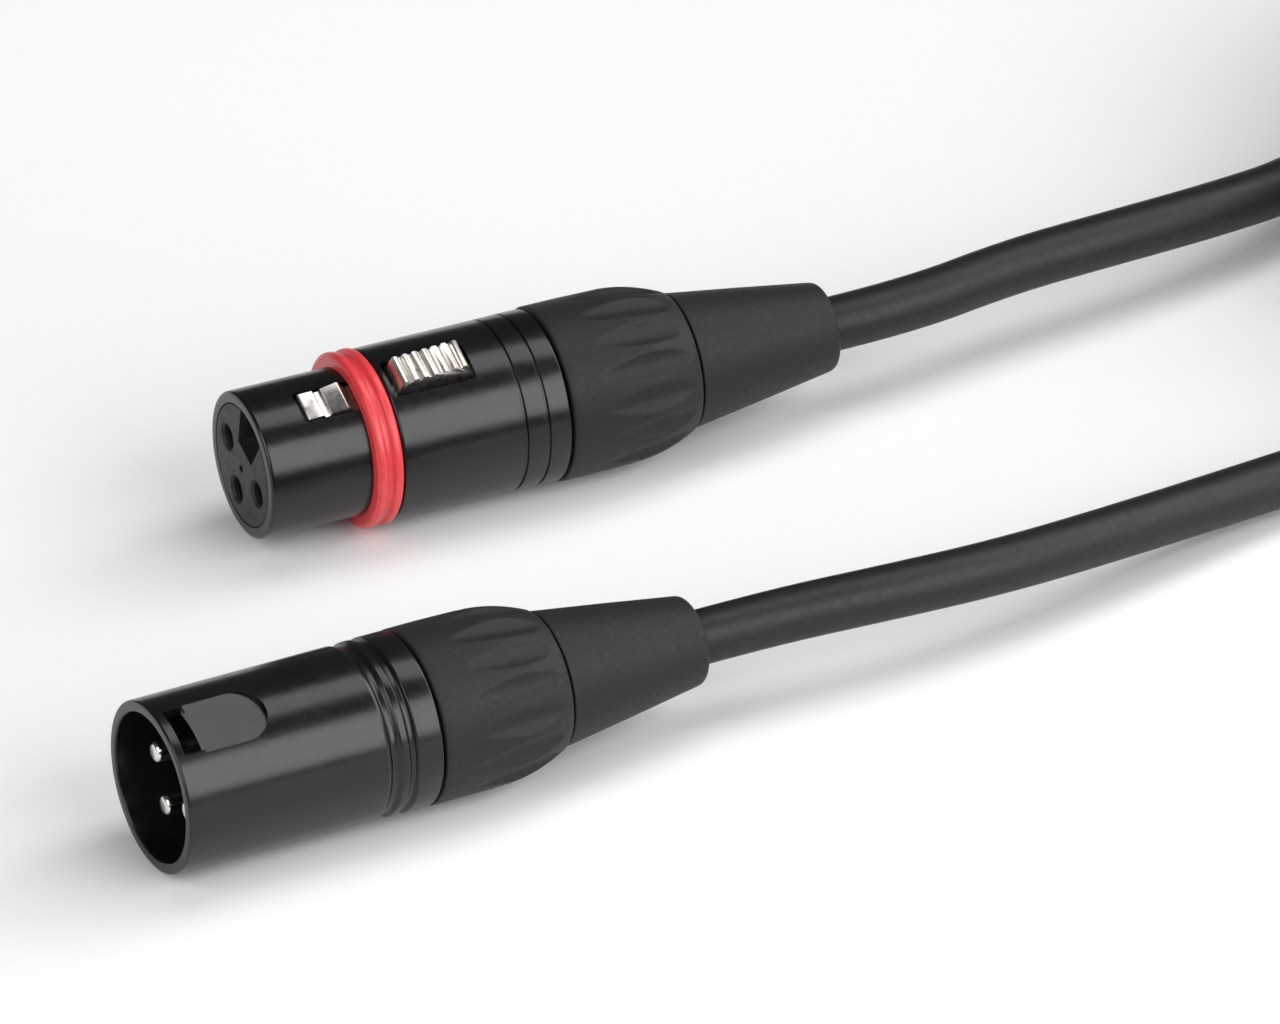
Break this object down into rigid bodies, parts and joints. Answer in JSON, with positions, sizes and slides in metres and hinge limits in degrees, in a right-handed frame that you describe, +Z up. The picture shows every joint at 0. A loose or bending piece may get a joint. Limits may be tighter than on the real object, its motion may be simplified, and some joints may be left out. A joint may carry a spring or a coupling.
{
  "type": "microphone cable",
  "caption": "Microphone cable with a latching female connector and a pin male connector, screw-on rubber grips and boots, and the spare length tied in a round coil.",
  "frame": {"origin": "middle of the two connectors, on the surface that the cable lies on", "axes": "+X along the male connector from its rim to its cable, +Z up, the female connector on the +Y side"},
  "size_m": [0.2686, 0.0983, 0.0263],
  "materials": {
    "shell": "gloss",
    "insert": "matte",
    "contact": "polished",
    "latch": "polished",
    "spring": "satin",
    "ring": "gloss",
    "clamp": "satin",
    "grip": "matte",
    "boot": "matte",
    "drain": "satin",
    "conductor_red": "satin",
    "conductor_white": "satin",
    "tie": "woven",
    "cable": "satin"
  },
  "bodies": {
    "root": {"cable_coil": "cable", "coding_ring": "ring", "coil_tie_1": "tie", "coil_tie_2": "tie", "female_cable_end": "cable", "female_contact_1": "contact", "female_contact_2": "contact", "female_contact_3": "contact", "female_insert": "insert", "female_lead": "cable", "female_shell": "shell", "female_wire_cold": "conductor_white", "female_wire_hot": "conductor_red", "female_wire_screen": "drain", "latch_pin": "latch", "latch_spring": "spring", "male_cable_end": "cable", "male_insert": "insert", "male_lead": "cable", "male_pin_1": "contact", "male_pin_2": "contact", "male_pin_3": "contact", "male_shell": "shell", "male_wire_cold": "conductor_white", "male_wire_hot": "conductor_red", "male_wire_screen": "drain"},
    "latch": {"latch": "latch"},
    "female_clamp": {"female_chuck": "clamp"},
    "female_grip": {"female_bushing": "grip", "female_boot": "boot"},
    "male_clamp": {"male_chuck": "clamp"},
    "male_grip": {"male_bushing": "grip", "male_boot": "boot"}
  },
  "joints": [
    {"name": "latch_press", "type": "hinge", "parent": "root", "child": "latch", "pos_m": [0.00962, 0.02351, 0.01549], "axis": [-0.0432, -0.9326, -0.3584], "range_deg": [0, 4.5], "stiffness_Nm_per_rad": 0.4, "springref_deg": -5.73, "deforming": ["latch_spring"]},
    {"name": "female_clamp_travel", "type": "slide", "parent": "root", "child": "female_clamp", "axis": [0.9989, -0.0462, 0], "range_m": [0, 0.0045]},
    {"name": "female_grip_turn", "type": "hinge", "parent": "female_clamp", "child": "female_grip", "pos_m": [0.0293, 0.02482, 0.0097], "axis": [0.9989, -0.0462, 0], "range_deg": [0, 1080]},
    {"name": "male_clamp_travel", "type": "slide", "parent": "root", "child": "male_clamp", "axis": [1, 0, 0], "range_m": [0, 0.0045]},
    {"name": "male_grip_turn", "type": "hinge", "parent": "male_clamp", "child": "male_grip", "pos_m": [-0.01315, -0.02635, 0.0097], "axis": [1, 0, 0], "range_deg": [0, 1080]}
  ],
  "couplings": [
    {"joint": "female_grip_turn", "follows": "female_clamp_travel", "rad_per_m": 4188.8},
    {"joint": "male_grip_turn", "follows": "male_clamp_travel", "rad_per_m": 4188.8}
  ]
}
